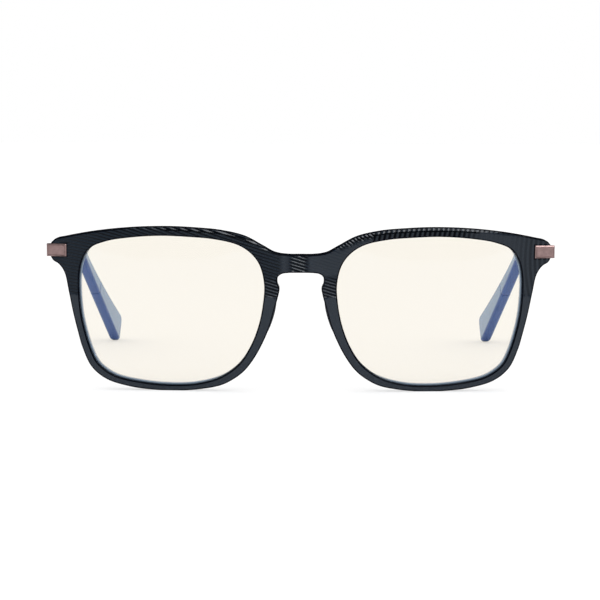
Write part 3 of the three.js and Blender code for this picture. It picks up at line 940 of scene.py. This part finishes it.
def noise(tree, vector, scale, detail=4.0, roughness=0.6, distortion=0.0):
    return node(tree, "TexNoise", Vector=vector, Scale=scale, Detail=detail,
                Roughness=roughness, Distortion=distortion).outputs["Fac"]


def ranged(tree, value, low, high, source_low=0.0, source_high=1.0):
    return node(tree, "MapRange", Value=value, From_Min=source_low, From_Max=source_high,
                To_Min=low, To_Max=high).outputs["Result"]


def math_node(tree, operation, a, b=0.0):
    return node(tree, "Math", {"operation": operation}, i0=a, i1=b).outputs[0]


def mixed_colour(tree, factor, a, b, blend="MIX"):
    mix = tree.nodes.new("ShaderNodeMix")
    mix.data_type = "RGBA"
    mix.blend_type = blend
    for socket, value in ((mix.inputs[0], factor), (mix.inputs[6], a), (mix.inputs[7], b)):
        if isinstance(value, bpy.types.NodeSocket):
            tree.links.new(value, socket)
        else:
            socket.default_value = value
    return mix.outputs[2]


def object_space(tree, scale=(1, 1, 1)):
    """Millimetre coordinates of the piece at rest, stretched by scale."""
    place = node(tree, "TexCoord").outputs["Object"]
    return node(tree, "Mapping", Vector=place,
                Scale=[1000 * s for s in scale]).outputs["Vector"]


def rgb(red, green, blue):
    return (red, green, blue, 1.0)


def wall_plastic():
    """The polished wall of the lens openings; its base colour is painted much lighter than the
    face's navy as a painted reflection of the table, on top of its real gloss.
    """
    material, tree, output = new_material("navy_wall_painted_reflection")
    cloud = noise(tree, object_space(tree), 1.2, 3)
    # Painted reflection: a lighter colour than the face's navy.
    colour = mixed_colour(tree, cloud, rgb(0.045, 0.06, 0.08), rgb(0.07, 0.09, 0.115))
    shader = node(tree, "BsdfPrincipled", Base_Color=colour, Roughness=0.25,
                  Specular_IOR_Level=0.2)
    tree.links.new(shader.outputs[0], output.inputs[0])
    return material


def navy_plastic(name, polished):
    """Engraved satin sheet, or its polished edge painted near black, with almost no reflection, as
    a painted dark outline.
    """
    material, tree, output = new_material(name)
    space = object_space(tree)
    mottle = noise(tree, space, 0.35, 5)
    grain = noise(tree, space, 9.0, 3)
    if polished:
        # Painted shade: the edge is the same navy plastic, made near black so it reads as a dark
        # outline from every side.
        colour = mixed_colour(tree, mottle, rgb(0.0005, 0.001, 0.003), rgb(0.001, 0.002, 0.005))
        rough = ranged(tree, grain, 0.12, 0.2)
        level = 0.02
        bump_strength = 0.04
    else:
        # Painted shade from the engraving darkens the colour and turns the reflection down.
        groove_shade = node(tree, "Attribute", {"attribute_name": "groove_shade"}).outputs["Fac"]
        face = mixed_colour(tree, mottle, rgb(0.004, 0.010, 0.019), rgb(0.007, 0.014, 0.024))
        painted_shade_colour = rgb(0.0004, 0.0008, 0.002)
        colour = mixed_colour(tree, ranged(tree, groove_shade, 0, 1), face, painted_shade_colour)
        rough = ranged(tree, grain, 0.22, 0.32)
        level = ranged(tree, groove_shade, 0.36, 0.03)
        bump_strength = 0.12
    bump = node(tree, "Bump", Strength=bump_strength, Distance=0.00002,
                Height=grain).outputs["Normal"]
    shader = node(tree, "BsdfPrincipled", Base_Color=colour, Roughness=rough, Normal=bump,
                  Specular_IOR_Level=level)
    tree.links.new(shader.outputs[0], output.inputs[0])
    return material


def lens_material():
    """Clear plastic with a warm filter tint, a faint blue coating, and a pale blue-grey band with a
    dark line at the edge, painted as the edge's reflection.
    """
    material, tree, output = new_material("coated_lens")
    space = object_space(tree)
    veil = noise(tree, space, 0.05, 2)
    tint = mixed_colour(tree, veil, rgb(0.949, 0.928, 0.885), rgb(0.946, 0.925, 0.879))
    clear = node(tree, "BsdfTransparent", Color=tint)
    facing = node(tree, "LayerWeight", Blend=0.35).outputs["Facing"]
    sheen = mixed_colour(tree, facing, rgb(0.35, 0.55, 1.0), rgb(0.75, 0.8, 1.0))
    gloss = node(tree, "BsdfGlossy", Color=sheen, Roughness=ranged(tree, veil, 0.02, 0.05))
    fresnel = node(tree, "Fresnel", IOR=1.5).outputs["Fac"]
    share = math_node(tree, "MULTIPLY", fresnel, 0.3)
    coated = node(tree, "MixShader", i0=share, i1=clear.outputs[0], i2=gloss.outputs[0])
    # Painted reflection of the lens edge: pale blue-grey on the inner rings, dark beside the rim.
    edge_sheen = node(tree, "Attribute", {"attribute_name": "edge_sheen"}).outputs["Fac"]
    speckle = noise(tree, space, 4.0, 3)
    pale = node(tree, "Attribute", {"attribute_name": "pale"}).outputs["Fac"]
    near_rim = mixed_colour(tree, speckle, rgb(0.028, 0.044, 0.062), rgb(0.040, 0.058, 0.080))
    away_from_rim = mixed_colour(tree, speckle, rgb(0.26, 0.33, 0.42), rgb(0.32, 0.39, 0.48))
    painted_edge_band = node(tree, "BsdfDiffuse", Color=mixed_colour(tree, pale, near_rim, away_from_rim))
    mix = node(tree, "MixShader", i0=math_node(tree, "MULTIPLY", edge_sheen, 0.92),
               i1=coated.outputs[0], i2=painted_edge_band.outputs[0])
    tree.links.new(mix.outputs[0], output.inputs[0])
    return material


def metal(name, dark, light, rough, along=(1, 1, 1), streak=14.0):
    """Brushed or turned metal, with fine streaks along one direction."""
    material, tree, output = new_material(name)
    streaks = noise(tree, object_space(tree, along), streak, 3, 0.7)
    cloud = noise(tree, object_space(tree), 0.8, 3)
    blend = math_node(tree, "ADD", math_node(tree, "MULTIPLY", streaks, 0.65),
                      math_node(tree, "MULTIPLY", cloud, 0.35))
    colour = mixed_colour(tree, ranged(tree, blend, 0, 1, 0.35, 0.65), dark, light)
    bump = node(tree, "Bump", Strength=0.25, Distance=0.00002, Height=streaks).outputs["Normal"]
    shader = node(tree, "BsdfPrincipled", Base_Color=colour, Metallic=1.0, Normal=bump,
                  Roughness=ranged(tree, streaks, rough - 0.07, rough + 0.09, 0.3, 0.7))
    tree.links.new(shader.outputs[0], output.inputs[0])
    return material


def blue_plastic():
    """Translucent slate-blue acetate, polished, with soft clouds inside, and a painted sheen that
    lightens the colour at glancing angles.
    """
    material, tree, output = new_material("slate_blue_acetate")
    clouds = noise(tree, object_space(tree, (1, 0.35, 1)), 0.22, 4, 0.55, 0.6)
    fine = noise(tree, object_space(tree), 6.0, 2)
    colour = mixed_colour(tree, ranged(tree, clouds, 0, 1, 0.3, 0.7),
                          rgb(0.031, 0.074, 0.235), rgb(0.043, 0.092, 0.285))
    # Painted sheen: the base colour turns lighter where the surface is seen at a glancing angle.
    glancing_sheen = node(tree, "LayerWeight", Blend=0.5).outputs["Facing"]
    colour = mixed_colour(tree, ranged(tree, glancing_sheen, 0, 1, 0.64, 0.82), colour,
                          rgb(0.175, 0.275, 0.41))
    bump = node(tree, "Bump", Strength=0.05, Distance=0.00002, Height=fine).outputs["Normal"]
    shader = node(tree, "BsdfPrincipled", Base_Color=colour, Normal=bump,
                  Roughness=ranged(tree, fine, 0.12, 0.2), Specular_IOR_Level=0.2,
                  Subsurface_Weight=0.1, Subsurface_Scale=0.0015)
    tree.links.new(shader.outputs[0], output.inputs[0])
    return material


MATERIALS = {
    "face": navy_plastic("navy_satin", False),
    "edge": navy_plastic("navy_polished_painted_dark", True),
    "wall": wall_plastic(),
    "pad": navy_plastic("navy_pad", False),
    "lens": lens_material(),
    "gunmetal": metal("rose_gunmetal", rgb(0.20, 0.135, 0.130), rgb(0.34, 0.235, 0.23), 0.3,
                      (1, 0.12, 1)),
    "steel": metal("turned_steel", rgb(0.34, 0.35, 0.37), rgb(0.60, 0.61, 0.63), 0.28,
                   (0.6, 0.6, 2.4)),
    "blue": blue_plastic(),
}


# ---- pieces ----
def add_piece(node_name, mesh, materials, body, crease=35.0):
    piece_name = node_name + "_visual"
    mesh.name = piece_name
    while len(mesh.materials) < len(materials):
        mesh.materials.append(None)
    for i, key in enumerate(materials):
        mesh.materials[i] = MATERIALS[key]
    mesh.shade_smooth()
    mesh.set_sharp_from_angle(angle=math.radians(crease))
    piece = bpy.data.objects.new(piece_name, mesh)
    bpy.context.scene.collection.objects.link(piece)
    weighted = piece.modifiers.new("even_shading", "WEIGHTED_NORMAL")
    weighted.keep_sharp = True
    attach(piece, body)
    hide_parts(node_name)
    return piece


def mirrored(mesh):
    copy = mesh.copy()
    copy.transform(Matrix.Diagonal((-1, 1, 1, 1)))
    copy.flip_normals()
    return copy


def stood(mesh):
    """Flattened where it touches the table."""
    points = points_of(mesh)
    points[:, 2] = np.maximum(points[:, 2], 0)
    return set_points(mesh, points)


front = front_frame_mesh()
for key in ("face", "edge", "wall"):
    front.materials.append(MATERIALS[key])
front = carved(front, *recess_tools())
paint_recess_shade(front)
add_piece("front_frame", stood(moved(front, in_sheet)), ["face", "edge", "wall"],
          "front",
          50.0)

pairs = [
    ("lens", lens_mesh(), in_sheet, "lens", "lens", "front", 30),
    ("nose_pad", nose_pad_mesh(), in_sheet, "pad", "navy_plastic", "front", 60),
    ("end_piece", end_piece_mesh(), None, "gunmetal", "gunmetal", "front", 35),
    ("rivet_inner", rivet_mesh(RIVET["x"][0]), in_sheet, "steel", "steel", "front", 40),
    ("rivet_outer", rivet_mesh(RIVET["x"][1]), in_sheet, "steel", "steel", "front", 40),
    ("hinge_front_leaf", leaf_mesh([0, 2], -LEAF["front_length"], 0), in_hinge, "steel", "steel",
     "front", 35),
    ("hinge_screw", hinge_screw_mesh(), in_hinge, "steel", "steel", "front", 35),
    ("hinge_temple_leaf", leaf_mesh([1], LEAF["temple_length"], 0), in_hinge, "steel", "steel",
     "temple", 35),
    ("temple_arm", temple_arm_mesh(), in_hinge, "gunmetal", "gunmetal", "temple", 50),
    ("temple_sleeve", sleeve_mesh(), in_hinge, "blue", "blue_plastic", "temple", 50),
    ("ear_grip", grip_mesh(), in_hinge, "blue", "blue_plastic", "temple", 50),
]
for name, mesh, place, look, slot, body, crease in pairs:
    if place:
        moved(mesh, place)
    stood(mesh)
    other = mirrored(mesh)
    for side, made in (("left", mesh), ("right", other)):
        rides = body if body == "front" else f"{body}_{side}"
        add_piece(f"{name}_{side}", made, [look], rides, crease)

# ---- table, light and camera ----
CAMERA = {"back": 600, "side": -0.14, "height": 74.6, "pitch": 4.71, "roll": 0.238,
          "lens": 131.2}
FRONT_PLANE_Y = SHIFT[1] / MM
FLOOR_BRIGHTNESS = 1.11
FLOOR_EVENNESS = 0.5  # keeps the shadows on the table as faint as in a bright studio


def floor_material():
    material, tree, output = new_material("white_table")
    grain = noise(tree, object_space(tree), 0.08, 3)
    colour = mixed_colour(tree, grain, rgb(0.895, 0.895, 0.895), rgb(0.905, 0.905, 0.905))
    shader = node(tree, "BsdfPrincipled", Base_Color=colour, Roughness=0.6,
                  Specular_IOR_Level=0.1)
    glow = node(tree, "Emission", Color=rgb(1.0, 1.0, 1.0), Strength=FLOOR_BRIGHTNESS)
    lifted = node(tree, "MixShader", i0=FLOOR_EVENNESS, i1=shader.outputs[0], i2=glow.outputs[0])
    seen = node(tree, "LightPath").outputs["Is Camera Ray"]
    final = node(tree, "MixShader", i0=seen, i1=shader.outputs[0], i2=lifted.outputs[0])
    tree.links.new(final.outputs[0], output.inputs[0])
    return material


def make_floor():
    size = 6.0
    low = -0.00002
    mesh = mesh_of([(-size, -size, low), (size, -size, low), (size, size, low),
                    (-size, size, low)], [(0, 1, 2, 3)], "table")
    mesh.materials.append(floor_material())
    floor = bpy.data.objects.new("table", mesh)
    bpy.context.scene.collection.objects.link(floor)


def make_world():
    """White for the camera and as room light, but dark low down where polished parts mirror it."""
    world = bpy.data.worlds.new("studio")
    bpy.context.scene.world = world
    world.use_nodes = True
    tree = world.node_tree
    tree.nodes.clear()
    output = tree.nodes.new("ShaderNodeOutputWorld")
    direction = node(tree, "TexCoord").outputs["Generated"]
    parts = node(tree, "SeparateXYZ", Vector=direction).outputs
    height = ranged(tree, parts["Z"], 0.02, 0.35, 0.35, 0.95)
    mirrored_sky = node(tree, "Background", Color=rgb(0.94, 0.97, 1.0), Strength=height)
    ambient = node(tree, "Background", Color=rgb(1.0, 1.0, 1.0), Strength=1.32)
    seen = node(tree, "Background", Color=rgb(1.0, 1.0, 1.0), Strength=1.0)
    path = node(tree, "LightPath").outputs
    lit = node(tree, "MixShader", i0=path["Is Glossy Ray"], i1=ambient.outputs[0],
               i2=mirrored_sky.outputs[0])
    final = node(tree, "MixShader", i0=path["Is Camera Ray"], i1=lit.outputs[0],
                 i2=seen.outputs[0])
    tree.links.new(final.outputs[0], output.inputs[0])


def add_light(name, place, target, size, power):
    lamp = bpy.data.lights.new(name, "AREA")
    lamp.shape = "RECTANGLE"
    lamp.size, lamp.size_y = size
    lamp.energy = power
    light = bpy.data.objects.new(name, lamp)
    light.location = place
    light.visible_diffuse = False
    light.rotation_mode = "QUATERNION"
    light.rotation_quaternion = (Vector(target) - Vector(place)).to_track_quat("-Z", "Y")
    bpy.context.scene.collection.objects.link(light)


def make_camera():
    lens = bpy.data.cameras.new("camera")
    lens.lens = CAMERA["lens"]
    lens.clip_start, lens.clip_end = 0.01, 20
    camera = bpy.data.objects.new("camera", lens)
    camera.location = (CAMERA["side"] * MM, (FRONT_PLANE_Y - CAMERA["back"]) * MM,
                       CAMERA["height"] * MM)
    aim = Euler((math.radians(90 - CAMERA["pitch"]), 0, 0)).to_quaternion()
    aim = aim @ Quaternion((0, 0, 1), math.radians(CAMERA["roll"]))
    camera.rotation_euler = aim.to_euler()
    bpy.context.scene.collection.objects.link(camera)
    bpy.context.scene.camera = camera


make_floor()
make_world()
add_light("key", (0.42, -0.67, 0.92), (0, -0.06, 0.03), (0.9, 0.9), 18)
make_camera()
bpy.context.scene.view_settings.view_transform = "Standard"
